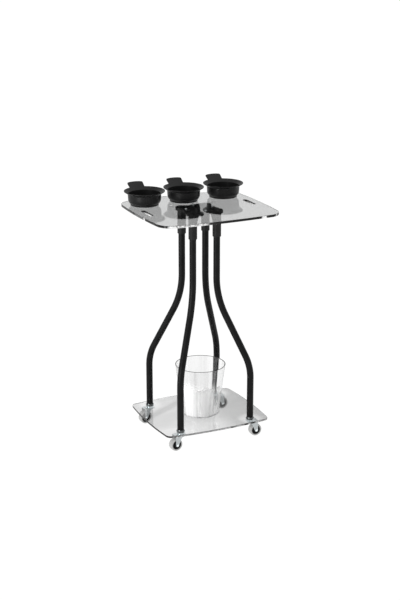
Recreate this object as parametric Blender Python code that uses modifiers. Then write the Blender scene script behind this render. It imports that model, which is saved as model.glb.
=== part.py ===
"""Rolling salon trolley: an acrylic tray on four bent tubes, an acrylic shelf on swivel casters,
three loose tint bowls and a clear bin. Metres, +Z up, origin on the floor under the middle of the
tray, +X along the tray's long side, -Y towards the front."""

import math

import bmesh
import bpy
from mathutils import Matrix, Vector

GAP = 0.0003  # clearance between neighbouring pieces
OVERSHOOT = 0.0100  # how far a cutter reaches beyond the plate that it cuts
OVERLAP = 0.0020  # how deep one joined volume sinks into the next

CORNERS = {  # side of each corner along X and Y
    "front_left": (-1, -1),
    "front_right": (1, -1),
    "back_left": (-1, 1),
    "back_right": (1, 1),
}

# Casters: 41 mm wheels whose axles trail behind the swivel line
WHEEL_RADIUS = 0.0205
TYRE_HALF_WIDTH = 0.0102
TYRE_SEAT_HALF_WIDTH = 0.0086
TYRE_CROWN_HALF_WIDTH = 0.0072
HUB_RADIUS = 0.0147
HUB_HALF_WIDTH = 0.0092
HUB_WEB_RADIUS = 0.0122
HUB_WEB_HALF_WIDTH = 0.0072
HUB_BOSS_RADIUS = 0.0058
AXLE_RADIUS = 0.0030
AXLE_HEAD_RADIUS = 0.0046
AXLE_HEAD_DEPTH = 0.0022
FORK_INSIDE = 0.0112  # half the space between the two cheeks
FORK_SHEET = 0.0016
FORK_CROWN_TOP = 0.0515
FORK_BACK = -0.0120
FORK_NOSE = 0.0245
CHEEK_ROUND = 0.0052  # radius of the cheek round the axle
TRAIL = 0.0190
RACE_BOTTOM = 0.0540  # underside of the fixed race, where the fork starts
RACE_RADIUS = 0.0135
RACE_NECK_RADIUS = 0.0120
FORK_RACE_RADIUS = 0.0125
STEM_RADIUS = 0.0040
STEM_CLEARANCE = 0.0004
CASTER_TURNS = {  # direction in which each wheel trails, degrees from +X
    "front_left": -174.6,
    "front_right": -0.6,
    "back_left": -175.5,
    "back_right": 0.0,
}

# Lower shelf
SHELF_BOTTOM = 0.0570
SHELF_THICKNESS = 0.0060
SHELF_TOP = SHELF_BOTTOM + SHELF_THICKNESS
SHELF_HALF = (0.1830, 0.1545)  # at the virtual corners, before the bow of each side
SHELF_BOW = (0.0095, 0.0115)
SHELF_CORNER = 0.0180
SHELF_EDGE = 0.0006

# Top tray
TRAY_BOTTOM = 0.7620
TRAY_THICKNESS = 0.0080
TRAY_TOP = TRAY_BOTTOM + TRAY_THICKNESS
TRAY_HALF = (0.2070, 0.1826)
TRAY_BOW = (0.0094, 0.0124)
TRAY_CORNER = 0.0500
TRAY_EDGE = 0.0007
SLOT_CENTRE_X = 0.1820
SLOT_LENGTH = 0.0760
SLOT_WIDTH = 0.0140
DRAIN_HOLE_XY = (0.0710, 0.0630)
DRAIN_HOLE_RADIUS = 0.0030

# Legs: 22 mm tubes that stand close together under the tray and spread to the shelf's corners
TUBE_RADIUS = 0.0110
TUBE_WALL = 0.0015
LEG_TOP_HALF = 0.0427
LEG_FOOT_HALF = 0.1270
LEG_LEAN = math.radians(27.65)
UPPER_BEND_RADIUS = 0.2755
LOWER_BEND_RADIUS = 0.1600
UPPER_BEND_START = 0.5426
BEND_STEPS = 6
TUBE_SIDES_RESOLUTION = 6  # sixteen sides

# Bracket under the tray
FLANGE_THICKNESS = 0.0100
FLANGE_TOP = TRAY_BOTTOM - GAP
FLANGE_BOTTOM = FLANGE_TOP - FLANGE_THICKNESS
FLANGE_LOBE = 0.0200
FLANGE_LOBE_WRAP = math.radians(12)  # how far each lobe runs past a quarter turn
FLANGE_HOLLOW = 0.0060  # depth of the hollow between two lobes
FLANGE_HOLLOW_HALF = 0.0120
SOCKET_RADIUS = 0.0140
SOCKET_BOTTOM = 0.6798
SOCKET_BORE_TOP = 0.7460
RIB_DEPTH = 0.0080
RIB_HEIGHT = 0.0260
RIB_THICKNESS = 0.0060
SCREW_OFFSET = 0.0470
SCREW_PLACES = ((-SCREW_OFFSET, 0), (SCREW_OFFSET, 0), (0, -SCREW_OFFSET), (0, SCREW_OFFSET))
SCREW_RADIUS = 0.0020
SCREW_HEAD_RADIUS = 0.0042
SCREW_HEAD_HEIGHT = 0.0024
SCREW_LENGTH = 0.0160

# Foot collars
COLLAR_BOTTOM = SHELF_TOP + GAP
COLLAR_TOP = COLLAR_BOTTOM + 0.0050
COLLAR_RADIUS = 0.0138
COLLAR_LIP = 0.0012
SPIGOT_RADIUS = TUBE_RADIUS - TUBE_WALL - 0.0008
SPIGOT_TOP = COLLAR_TOP + 0.0150
STEM_TOP = SPIGOT_TOP - 0.0030
LEG_BOTTOM = COLLAR_TOP + GAP
LEG_TOP = SOCKET_BORE_TOP - GAP

# Tint bowls
BOWL_PLACES = {
    "tint_bowl_left": (-0.1435, 0.1113),
    "tint_bowl_middle": (-0.0041, 0.1107),
    "tint_bowl_right": (0.1398, 0.1095),
}
BOWL_RIM_RADIUS = 0.0668
BOWL_RIM_HEIGHT = 0.0468
BOWL_RIM_EDGE = 0.0016
BOWL_BODY_RADIUS = 0.0545
BOWL_NECK_HEIGHT = 0.0390
BOWL_SHOULDER = (  # (radius, height) where the wall turns in towards the foot
    (0.0540, 0.0240),
    (0.0536, 0.0170),
    (0.0520, 0.0120),
    (0.0498, 0.0090),
    (0.0474, 0.0060),
)
BOWL_FOOT_RADIUS = 0.0463
BOWL_FOOT_HEIGHT = 0.0046
BOWL_FOOT_EDGE = 0.0012
BOWL_WALL = 0.0022
BOWL_FLOOR = 0.0028
TAB_ROOT_HALF = 0.0256
TAB_TIP_HALF = 0.0274
TAB_LENGTH = 0.0372
TAB_SLOPE = math.radians(28.9)
TAB_THICKNESS = 0.0024
TAB_CORNER = 0.0059
TAB_CROWN = 0.0052  # how far the middle of the tab's far edge stands out
TAB_START = (0.0500, BOWL_NECK_HEIGHT + 0.0010)  # distance from the bowl's axis, height

# Bin
BIN_PLACE = (0.0023, -0.0042)
BIN_HEIGHT = 0.1718
BIN_RIM_RADIUS = 0.0840
BIN_BASE_RADIUS = 0.0621
BIN_WALL = 0.0025
BIN_FLOOR = 0.0040
BIN_FOOT = 0.0010  # size of the bevel round the base

MATERIALS = {  # colour, metallic, roughness
    "clear_acrylic": ((0.86, 0.89, 0.90, 1.0), 0.0, 0.03),
    "black_powder_coat": ((0.012, 0.012, 0.013, 1.0), 0.0, 0.45),
    "black_bracket": ((0.018, 0.018, 0.019, 1.0), 0.0, 0.50),
    "bright_zinc": ((0.72, 0.74, 0.76, 1.0), 1.0, 0.28),
    "black_bowl_plastic": ((0.014, 0.014, 0.015, 1.0), 0.0, 0.38),
    "black_hub_plastic": ((0.010, 0.010, 0.010, 1.0), 0.0, 0.45),
    "grey_rubber": ((0.36, 0.37, 0.37, 1.0), 0.0, 0.60),
}


def clear_scene():
    for obj in list(bpy.data.objects):
        bpy.data.objects.remove(obj, do_unlink=True)


def new_collection(name):
    collection = bpy.data.collections.new(name)
    bpy.context.scene.collection.children.link(collection)
    return collection


def material(name):
    found = bpy.data.materials.get(name)
    if found:
        return found
    colour, metallic, roughness = MATERIALS[name]
    made = bpy.data.materials.new(name)
    made.use_nodes = True
    shader = made.node_tree.nodes["Principled BSDF"]
    shader.inputs["Base Color"].default_value = colour
    shader.inputs["Metallic"].default_value = metallic
    shader.inputs["Roughness"].default_value = roughness
    made.diffuse_color = colour
    return made


def add_part(obj, material_name, location=None, parent=None):
    PARTS.objects.link(obj)
    obj.data.materials.clear()
    obj.data.materials.append(material(material_name))
    if location:
        obj.location = location
    obj.parent = parent
    return obj


def add_cutter(obj, location=None, parent=None):
    CUTTERS.objects.link(obj)
    obj.hide_render = True
    obj.display_type = "WIRE"
    if location:
        obj.location = location
    obj.parent = parent
    return obj


def add_frame(name, location, rotation, parent=None):
    frame = bpy.data.objects.new(name, None)
    frame.location = location
    frame.rotation_euler = rotation
    frame.parent = parent
    PARTS.objects.link(frame)
    return frame


def boolean(obj, other, operation="DIFFERENCE"):
    modifier = obj.modifiers.new(operation.title(), "BOOLEAN")
    modifier.operation = operation
    modifier.solver = "EXACT"
    modifier.object = other


def bevel(obj, width):
    modifier = obj.modifiers.new("Bevel", "BEVEL")
    modifier.width = width
    modifier.segments = 1
    modifier.limit_method = "ANGLE"
    modifier.angle_limit = math.radians(40)


def smooth(mesh):
    mesh.shade_smooth()
    mesh.set_sharp_from_angle(angle=math.radians(35))


def arc(centre, radius, start, end, steps):
    angles = [start + (end - start) * i / steps for i in range(steps + 1)]
    return [(centre[0] + radius * math.cos(a), centre[1] + radius * math.sin(a)) for a in angles]


def prism(name, outline, bottom, top):
    """A solid with a flat outline, given anticlockwise, standing from bottom to top."""
    mesh = bpy.data.meshes.new(name)
    body = bmesh.new()
    face = body.faces.new([body.verts.new((x, y, bottom)) for x, y in outline])
    raised = bmesh.ops.extrude_face_region(body, geom=[face])
    lifted = [item for item in raised["geom"] if isinstance(item, bmesh.types.BMVert)]
    bmesh.ops.translate(body, verts=lifted, vec=(0, 0, top - bottom))
    bmesh.ops.recalc_face_normals(body, faces=body.faces)
    body.to_mesh(mesh)
    body.free()
    return bpy.data.objects.new(name, mesh)


def side_prism(name, outline, half_width):
    """A solid whose outline lies in the XZ plane and that reaches half_width to each side."""
    obj = prism(name, outline, -half_width, half_width)
    obj.data.transform(Matrix.Rotation(math.pi / 2, 4, "X"))
    return obj


def cylinder(name, radius, bottom, top, sides=24):
    mesh = bpy.data.meshes.new(name)
    body = bmesh.new()
    bmesh.ops.create_cone(
        body, cap_ends=True, segments=sides, radius1=radius, radius2=radius, depth=top - bottom
    )
    bmesh.ops.translate(body, verts=body.verts, vec=(0, 0, (bottom + top) / 2))
    body.to_mesh(mesh)
    body.free()
    smooth(mesh)
    return bpy.data.objects.new(name, mesh)


def lathe(name, profile, steps):
    """A solid turned about Z from (radius, height) points that run round its section, down its
    outer side first. A section that touches the axis needs no edge along it."""
    mesh = bpy.data.meshes.new(name)
    points = [(radius, 0.0, height) for radius, height in profile]
    pairs = [(i, (i + 1) % len(points)) for i in range(len(points))]
    edges = [(a, b) for a, b in pairs if profile[a][0] > 0 or profile[b][0] > 0]
    mesh.from_pydata(points, edges, [])
    obj = bpy.data.objects.new(name, mesh)
    screw = obj.modifiers.new("Screw", "SCREW")
    screw.steps = steps
    screw.render_steps = steps
    screw.use_merge_vertices = True
    screw.merge_threshold = 0.00001
    screw.use_smooth_shade = True
    return obj


def without_repeats(outline):
    kept = []
    for point in outline:
        if not kept or math.dist(point, kept[-1]) > 1e-6:
            kept.append(point)
    if math.dist(kept[0], kept[-1]) < 1e-6:
        kept.pop()
    return kept


def bowed_rectangle(half, bow, corner, corner_steps):
    """A rectangle whose sides bulge outwards along parabolas, with its corners rounded."""
    half_x, half_y = half
    bow_x, bow_y = bow
    side_steps = 6

    def back_side(x):
        point = Vector((x, half_y + bow_y * (1 - (x / half_x) ** 2)))
        return point, Vector((2 * bow_y * x / half_x**2, 1)).normalized()

    def right_side(y):
        point = Vector((half_x + bow_x * (1 - (y / half_y) ** 2), y))
        return point, Vector((1, 2 * bow_x * y / half_y**2)).normalized()

    # The rounding touches both sides: its two ends slide until they share one centre
    x, y = half_x - corner, half_y - corner
    for _ in range(40):
        back_point, back_normal = back_side(x)
        right_point, right_normal = right_side(y)
        centre = back_point - corner * back_normal
        miss = right_point - corner * right_normal - centre
        x += miss.x
        y -= miss.y

    start = math.atan2(right_normal.y, right_normal.x)
    end = math.atan2(back_normal.y, back_normal.x)
    quarter = [tuple(right_side(y * i / side_steps)[0]) for i in range(side_steps)]
    quarter += arc(centre, corner, start, end, corner_steps)
    quarter += [tuple(back_side(x * (1 - i / side_steps))[0]) for i in range(1, side_steps)]
    back_middle = [(0.0, half_y + bow_y)]
    front_middle = [(0.0, -half_y - bow_y)]
    outline = quarter + back_middle
    outline += [(-px, py) for px, py in reversed(quarter)]
    outline += [(-px, -py) for px, py in quarter] + front_middle
    outline += [(px, -py) for px, py in reversed(quarter)]
    return without_repeats(outline)


def slot_outline(centre_x):
    """A round-ended slot that runs along Y."""
    radius = SLOT_WIDTH / 2
    reach = SLOT_LENGTH / 2 - radius
    back_end = arc((centre_x, reach), radius, 0, math.pi, 8)
    front_end = arc((centre_x, -reach), radius, math.pi, 2 * math.pi, 8)
    return back_end + front_end


def cut_screw_holes(obj, name, bottom, top):
    for number, (x, y) in enumerate(SCREW_PLACES, 1):
        hole = cylinder(
            f"cut_{name}_screw_{number}", SCREW_RADIUS + GAP, bottom - OVERSHOOT, top + OVERSHOOT, 12
        )
        boolean(obj, add_cutter(hole, (x, y, 0)))


def make_tray():
    outline = bowed_rectangle(TRAY_HALF, TRAY_BOW, TRAY_CORNER, 10)
    tray = add_part(prism("top_tray", outline, TRAY_BOTTOM, TRAY_TOP), "clear_acrylic")
    bottom, top = TRAY_BOTTOM - OVERSHOOT, TRAY_TOP + OVERSHOOT
    for side, label in ((-1, "left"), (1, "right")):
        slot = prism(f"cut_slot_{label}", slot_outline(side * SLOT_CENTRE_X), bottom, top)
        boolean(tray, add_cutter(slot))
        hole = cylinder(f"cut_drain_{label}", DRAIN_HOLE_RADIUS, bottom, top, 12)
        boolean(tray, add_cutter(hole, (side * DRAIN_HOLE_XY[0], DRAIN_HOLE_XY[1], 0)))
    cut_screw_holes(tray, "tray", TRAY_BOTTOM, TRAY_TOP)
    bevel(tray, TRAY_EDGE)


def make_shelf():
    outline = bowed_rectangle(SHELF_HALF, SHELF_BOW, SHELF_CORNER, 6)
    shelf = add_part(prism("lower_shelf", outline, SHELF_BOTTOM, SHELF_TOP), "clear_acrylic")
    for corner, (side_x, side_y) in CORNERS.items():
        hole = cylinder(
            f"cut_stem_{corner}",
            STEM_RADIUS + STEM_CLEARANCE,
            SHELF_BOTTOM - OVERSHOOT,
            SHELF_TOP + OVERSHOOT,
            16,
        )
        boolean(shelf, add_cutter(hole, (side_x * LEG_FOOT_HALF, side_y * LEG_FOOT_HALF, 0)))
    bevel(shelf, SHELF_EDGE)


def leg_path():
    """The leg's centre line as (distance from the trolley's axis, height), from foot to top."""
    top_reach = LEG_TOP_HALF * math.sqrt(2)
    foot_reach = LEG_FOOT_HALF * math.sqrt(2)
    upper_centre = (top_reach + UPPER_BEND_RADIUS, UPPER_BEND_START)
    upper = arc(upper_centre, UPPER_BEND_RADIUS, math.pi, math.pi + LEG_LEAN, BEND_STEPS)
    spread_in_bends = (1 - math.cos(LEG_LEAN)) * (UPPER_BEND_RADIUS + LOWER_BEND_RADIUS)
    straight = (foot_reach - top_reach - spread_in_bends) / math.sin(LEG_LEAN)
    lower_centre = (
        upper[-1][0] + straight * math.sin(LEG_LEAN) - LOWER_BEND_RADIUS * math.cos(LEG_LEAN),
        upper[-1][1] - straight * math.cos(LEG_LEAN) - LOWER_BEND_RADIUS * math.sin(LEG_LEAN),
    )
    lower = arc(lower_centre, LOWER_BEND_RADIUS, LEG_LEAN, 0, BEND_STEPS)
    path = [(top_reach, LEG_TOP)] + upper + lower + [(foot_reach, LEG_BOTTOM)]
    return path[::-1]


def make_leg(corner, side_x, side_y):
    """A round tube swept along the leg's centre line, then hollowed to its wall."""
    curve = bpy.data.curves.new(f"line_{corner}", "CURVE")
    curve.dimensions = "3D"
    curve.bevel_depth = TUBE_RADIUS
    curve.bevel_resolution = TUBE_SIDES_RESOLUTION
    spline = curve.splines.new("POLY")
    path = leg_path()
    spline.points.add(len(path) - 1)
    for point, (reach, height) in zip(spline.points, path):
        point.co = (side_x * reach / math.sqrt(2), side_y * reach / math.sqrt(2), height, 1)
    line = bpy.data.objects.new(f"line_{corner}", curve)
    bpy.context.scene.collection.objects.link(line)
    graph = bpy.context.evaluated_depsgraph_get()
    mesh = bpy.data.meshes.new_from_object(line.evaluated_get(graph))
    bpy.data.objects.remove(line)
    mesh.name = f"leg_{corner}"
    smooth(mesh)
    leg = add_part(bpy.data.objects.new(f"leg_{corner}", mesh), "black_powder_coat")
    wall = leg.modifiers.new("Wall", "SOLIDIFY")
    wall.thickness = TUBE_WALL
    wall.offset = -1
    wall.use_rim = True


def flange_outline():
    """Four round lobes, one around each socket, joined by shallow hollows in each side."""
    outline = []
    for turn, (side_x, side_y) in enumerate(((1, 1), (-1, 1), (-1, -1), (1, -1))):
        centre = (side_x * LEG_TOP_HALF, side_y * LEG_TOP_HALF)
        start = turn * math.pi / 2
        end = start + math.pi / 2
        outline += arc(centre, FLANGE_LOBE, start - FLANGE_LOBE_WRAP, end + FLANGE_LOBE_WRAP, 8)
        along = Vector((math.cos(end), math.sin(end)))
        hollow = along * (LEG_TOP_HALF + FLANGE_LOBE - FLANGE_HOLLOW)
        for step in (-FLANGE_HOLLOW_HALF, 0.0, FLANGE_HOLLOW_HALF):
            outline.append(tuple(hollow + along.orthogonal() * step))
    return outline


def make_rib(name, turn):
    """A small rib that leans on a socket, under the flange, and points along turn from +X."""
    inner = SOCKET_RADIUS - OVERLAP
    foot = FLANGE_BOTTOM - RIB_HEIGHT
    top = FLANGE_BOTTOM + OVERLAP
    outline = [(inner, foot), (SOCKET_RADIUS, foot), (SOCKET_RADIUS + RIB_DEPTH, top), (inner, top)]
    rib = side_prism(name, outline, RIB_THICKNESS / 2)
    rib.data.transform(Matrix.Rotation(turn, 4, "Z"))
    return rib


def make_bracket():
    bracket = prism("leg_bracket", flange_outline(), FLANGE_BOTTOM, FLANGE_TOP)
    add_part(bracket, "black_bracket")
    for corner, (side_x, side_y) in CORNERS.items():
        place = (side_x * LEG_TOP_HALF, side_y * LEG_TOP_HALF, 0)
        socket = cylinder(f"join_socket_{corner}", SOCKET_RADIUS, SOCKET_BOTTOM, FLANGE_TOP - OVERLAP)
        boolean(bracket, add_cutter(socket, place), "UNION")
        inward_x = math.pi if side_x > 0 else 0.0
        inward_y = -side_y * math.pi / 2
        for axis, turn in (("x", inward_x), ("y", inward_y)):
            rib = make_rib(f"join_rib_{corner}_{axis}", turn)
            boolean(bracket, add_cutter(rib, place), "UNION")
        bore = cylinder(
            f"cut_bore_{corner}", TUBE_RADIUS + GAP, SOCKET_BOTTOM - OVERSHOOT, SOCKET_BORE_TOP
        )
        boolean(bracket, add_cutter(bore, place))
    cut_screw_holes(bracket, "flange", FLANGE_BOTTOM, FLANGE_TOP)


def make_screws():
    """Round-headed screws that stand on the tray and reach down through the flange."""
    seat = TRAY_TOP + GAP
    profile = [
        (0, seat + SCREW_HEAD_HEIGHT),
        (SCREW_HEAD_RADIUS * 0.57, seat + SCREW_HEAD_HEIGHT * 0.96),
        (SCREW_HEAD_RADIUS * 0.90, seat + SCREW_HEAD_HEIGHT * 0.58),
        (SCREW_HEAD_RADIUS, seat + SCREW_HEAD_HEIGHT * 0.17),
        (SCREW_HEAD_RADIUS, seat),
        (SCREW_RADIUS, seat),
        (SCREW_RADIUS, seat - SCREW_LENGTH),
        (0, seat - SCREW_LENGTH),
    ]
    for number, (x, y) in enumerate(SCREW_PLACES, 1):
        add_part(lathe(f"tray_screw_{number}", profile, 12), "bright_zinc", (x, y, 0))


def make_collar(corner, place):
    """A foot collar: a flanged ring on the shelf, with a spigot that stands inside the tube."""
    bore = STEM_RADIUS + STEM_CLEARANCE
    profile = [
        (bore, SPIGOT_TOP),
        (SPIGOT_RADIUS, SPIGOT_TOP),
        (SPIGOT_RADIUS, COLLAR_TOP),
        (TUBE_RADIUS + COLLAR_LIP / 2, COLLAR_TOP),
        (TUBE_RADIUS + COLLAR_LIP, COLLAR_TOP - COLLAR_LIP),
        (COLLAR_RADIUS, COLLAR_BOTTOM + COLLAR_LIP),
        (COLLAR_RADIUS, COLLAR_BOTTOM),
        (bore, COLLAR_BOTTOM),
    ]
    add_part(lathe(f"foot_collar_{corner}", profile, 16), "bright_zinc", place)


def mirrored(upper):
    """Completes a profile that is symmetric about the wheel's middle plane."""
    return upper + [(radius, -height) for radius, height in reversed(upper)]


def stem_profile():
    race_top = SHELF_BOTTOM - GAP
    return [
        (0, STEM_TOP),
        (STEM_RADIUS, STEM_TOP),
        (STEM_RADIUS, race_top),
        (RACE_NECK_RADIUS, race_top),
        (RACE_RADIUS, race_top - 0.0009),
        (RACE_RADIUS, RACE_BOTTOM + 0.0009),
        (RACE_NECK_RADIUS, RACE_BOTTOM),
        (0, RACE_BOTTOM),
    ]


def axle_profile():
    seat = FORK_INSIDE + FORK_SHEET + GAP
    head = seat + AXLE_HEAD_DEPTH
    edge = 0.0008
    return mirrored(
        [
            (0, head),
            (AXLE_HEAD_RADIUS - edge, head),
            (AXLE_HEAD_RADIUS, head - edge),
            (AXLE_HEAD_RADIUS, seat),
            (AXLE_RADIUS, seat),
        ]
    )


def hub_profile():
    return mirrored(
        [
            (AXLE_RADIUS + GAP, FORK_INSIDE - GAP),
            (HUB_BOSS_RADIUS, FORK_INSIDE - GAP),
            (HUB_BOSS_RADIUS + 0.0004, HUB_WEB_HALF_WIDTH + 0.0006),
            (HUB_WEB_RADIUS, HUB_WEB_HALF_WIDTH),
            (HUB_WEB_RADIUS + 0.0008, HUB_HALF_WIDTH),
            (HUB_RADIUS, HUB_HALF_WIDTH),
        ]
    )


def tyre_profile():
    seat = HUB_RADIUS + GAP
    return mirrored(
        [
            (seat, TYRE_SEAT_HALF_WIDTH),
            (seat + 0.0010, TYRE_HALF_WIDTH),
            (WHEEL_RADIUS - 0.0016, TYRE_HALF_WIDTH),
            (WHEEL_RADIUS - 0.0004, TYRE_HALF_WIDTH - 0.0012),
            (WHEEL_RADIUS, TYRE_CROWN_HALF_WIDTH),
        ]
    )


def make_fork(corner, swivel):
    """A pressed yoke: a crown over the wheel and two cheeks that narrow down to the axle."""
    crown_under = FORK_CROWN_TOP - FORK_SHEET - 0.0006
    outline = [
        (FORK_BACK, FORK_CROWN_TOP),
        (FORK_BACK, FORK_CROWN_TOP - 0.0030),
        (0.0020, FORK_CROWN_TOP - 0.0060),
    ]
    axle_at = (TRAIL, WHEEL_RADIUS)
    outline += arc(axle_at, CHEEK_ROUND, math.radians(215), math.radians(365), 8)
    outline += [(FORK_NOSE, FORK_CROWN_TOP - 0.0120), (FORK_NOSE, FORK_CROWN_TOP)]
    fork = side_prism(f"caster_{corner}_fork", outline, FORK_INSIDE + FORK_SHEET)
    add_part(fork, "bright_zinc", parent=swivel)
    opening = [
        (FORK_BACK - OVERSHOOT, -OVERSHOOT),
        (FORK_NOSE + OVERSHOOT, -OVERSHOOT),
        (FORK_NOSE + OVERSHOOT, crown_under),
        (FORK_BACK - OVERSHOOT, crown_under),
    ]
    space = side_prism(f"cut_fork_{corner}", opening, FORK_INSIDE)
    boolean(fork, add_cutter(space, parent=swivel))
    reach = FORK_INSIDE + OVERSHOOT
    bore = cylinder(f"cut_axle_{corner}", AXLE_RADIUS + GAP, -reach, reach, 14)
    bore.rotation_euler = (math.pi / 2, 0, 0)
    boolean(fork, add_cutter(bore, (TRAIL, 0, WHEEL_RADIUS), swivel))
    race = cylinder(
        f"join_race_{corner}", FORK_RACE_RADIUS, FORK_CROWN_TOP - FORK_SHEET / 2, RACE_BOTTOM - GAP, 20
    )
    boolean(fork, add_cutter(race, parent=swivel), "UNION")


def make_caster(corner, place):
    """Stem, fork, axle, hub and tyre. In the swivel's own frame the wheel trails towards +X."""
    turn = (0, 0, math.radians(CASTER_TURNS[corner]))
    swivel = add_frame(f"swivel_{corner}", place, turn)
    spin = add_frame(f"spin_{corner}", (TRAIL, 0, WHEEL_RADIUS), (math.pi / 2, 0, 0), swivel)
    add_part(lathe(f"caster_{corner}_stem", stem_profile(), 20), "bright_zinc", place)
    make_fork(corner, swivel)
    axle = lathe(f"caster_{corner}_axle", axle_profile(), 14)
    add_part(axle, "bright_zinc", parent=spin)
    hub = lathe(f"caster_{corner}_hub", hub_profile(), 18)
    add_part(hub, "black_hub_plastic", parent=spin)
    tyre = lathe(f"caster_{corner}_tyre", tyre_profile(), 28)
    add_part(tyre, "grey_rubber", parent=spin)


def bowl_profile():
    """Outer side from the rim down, then the base, then the inside back up to the rim."""
    outside = [
        (BOWL_RIM_RADIUS, BOWL_RIM_HEIGHT),
        (BOWL_RIM_RADIUS, BOWL_RIM_HEIGHT - BOWL_RIM_EDGE),
        (BOWL_BODY_RADIUS, BOWL_NECK_HEIGHT - 0.0016),
        *BOWL_SHOULDER,
        (BOWL_FOOT_RADIUS, BOWL_FOOT_HEIGHT),
        (BOWL_FOOT_RADIUS, BOWL_FOOT_EDGE),
        (BOWL_FOOT_RADIUS - BOWL_FOOT_EDGE, 0),
    ]
    upper_wall, lower_wall = BOWL_SHOULDER[:2], BOWL_SHOULDER[2:]
    slanted = BOWL_WALL * 0.7  # the wall's offset along both axes where it lies at 45 degrees
    inside = [(0, 0), (0, BOWL_FLOOR), (BOWL_FOOT_RADIUS - BOWL_WALL, BOWL_FLOOR)]
    inside += [(radius - slanted, height + slanted) for radius, height in reversed(lower_wall)]
    inside += [(radius - BOWL_WALL, height) for radius, height in reversed(upper_wall)]
    inside += [
        (BOWL_BODY_RADIUS - BOWL_WALL, BOWL_NECK_HEIGHT),
        (BOWL_RIM_RADIUS - 0.0012, BOWL_RIM_HEIGHT + 0.0004),
    ]
    return outside + inside


def make_tab(name):
    """The thumb tab: a flat plate with a crowned far edge that rises from the back of the rim."""
    side = TAB_TIP_HALF - TAB_CORNER
    far = TAB_LENGTH - TAB_CORNER
    outline = [(-TAB_ROOT_HALF, 0), (TAB_ROOT_HALF, 0)]
    outline += arc((side, far), TAB_CORNER, 0, math.pi / 2, 4)
    for step in (0.5, 0.0, -0.5):
        outline.append((side * step, TAB_LENGTH + TAB_CROWN * (1 - step**2)))
    outline += arc((-side, far), TAB_CORNER, math.pi / 2, math.pi, 4)
    tab = prism(name, outline, -TAB_THICKNESS, 0)
    tab.data.transform(Matrix.Rotation(TAB_SLOPE, 4, "X"))
    tab.data.transform(Matrix.Translation((0, *TAB_START)))
    return tab


def make_bowl(name, place):
    bowl = lathe(name, bowl_profile(), 32)
    add_part(bowl, "black_bowl_plastic", (*place, TRAY_TOP + GAP))
    tab = add_cutter(make_tab(f"join_{name}_tab"), parent=bowl)
    boolean(bowl, tab, "UNION")


def make_bin():
    floor_radius = BIN_BASE_RADIUS - BIN_WALL
    profile = [
        (BIN_RIM_RADIUS, BIN_HEIGHT),
        (BIN_BASE_RADIUS, BIN_FOOT),
        (BIN_BASE_RADIUS - BIN_FOOT, 0),
        (0, 0),
        (0, BIN_FLOOR),
        (floor_radius - BIN_FOOT, BIN_FLOOR),
        (floor_radius, BIN_FLOOR + BIN_FOOT),
        (BIN_RIM_RADIUS - BIN_WALL, BIN_HEIGHT),
    ]
    add_part(lathe("waste_bin", profile, 40), "clear_acrylic", (*BIN_PLACE, SHELF_TOP + GAP))


clear_scene()
PARTS = new_collection("salon_trolley")
CUTTERS = new_collection("cutters")
make_tray()
make_bracket()
make_screws()
make_shelf()
for corner_name, (sign_x, sign_y) in CORNERS.items():
    foot = (sign_x * LEG_FOOT_HALF, sign_y * LEG_FOOT_HALF, 0)
    make_leg(corner_name, sign_x, sign_y)
    make_collar(corner_name, foot)
    make_caster(corner_name, foot)
for bowl_name, bowl_place in BOWL_PLACES.items():
    make_bowl(bowl_name, bowl_place)
make_bin()
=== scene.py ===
"""Looks of the rolling salon trolley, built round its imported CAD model. Metres, +Z up, -Y front."""

import math

import bmesh
import bpy
from mathutils import Matrix, Vector


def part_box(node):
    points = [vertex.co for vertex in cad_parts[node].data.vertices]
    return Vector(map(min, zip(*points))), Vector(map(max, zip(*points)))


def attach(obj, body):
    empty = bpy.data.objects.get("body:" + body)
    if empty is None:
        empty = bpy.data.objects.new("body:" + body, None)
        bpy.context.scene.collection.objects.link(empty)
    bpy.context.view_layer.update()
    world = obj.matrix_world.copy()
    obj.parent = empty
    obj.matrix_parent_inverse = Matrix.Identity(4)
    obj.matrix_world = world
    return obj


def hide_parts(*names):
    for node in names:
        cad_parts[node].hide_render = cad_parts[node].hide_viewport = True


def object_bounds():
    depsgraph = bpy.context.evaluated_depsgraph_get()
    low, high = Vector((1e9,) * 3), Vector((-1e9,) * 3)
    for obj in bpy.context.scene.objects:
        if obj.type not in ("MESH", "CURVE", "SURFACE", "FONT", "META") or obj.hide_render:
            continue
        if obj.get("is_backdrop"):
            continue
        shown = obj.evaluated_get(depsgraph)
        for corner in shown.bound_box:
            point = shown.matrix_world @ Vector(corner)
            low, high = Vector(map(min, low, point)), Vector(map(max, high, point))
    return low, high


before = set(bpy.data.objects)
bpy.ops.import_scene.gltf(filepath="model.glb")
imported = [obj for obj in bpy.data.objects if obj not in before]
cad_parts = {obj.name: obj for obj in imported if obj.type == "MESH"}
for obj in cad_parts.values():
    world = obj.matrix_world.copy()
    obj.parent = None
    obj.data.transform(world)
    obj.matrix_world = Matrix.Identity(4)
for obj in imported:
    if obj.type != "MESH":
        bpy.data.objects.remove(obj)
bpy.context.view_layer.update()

CORNERS = {
    "front_left": (-1, -1),
    "front_right": (1, -1),
    "back_left": (-1, 1),
    "back_right": (1, 1),
}
TAU = 2 * math.pi
GAP = 0.0003  # between pieces that turn or slide in each other

tray_low, tray_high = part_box("top_tray")
shelf_low, shelf_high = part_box("lower_shelf")
bracket_low, bracket_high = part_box("leg_bracket")
bin_low, bin_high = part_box("waste_bin")

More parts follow.
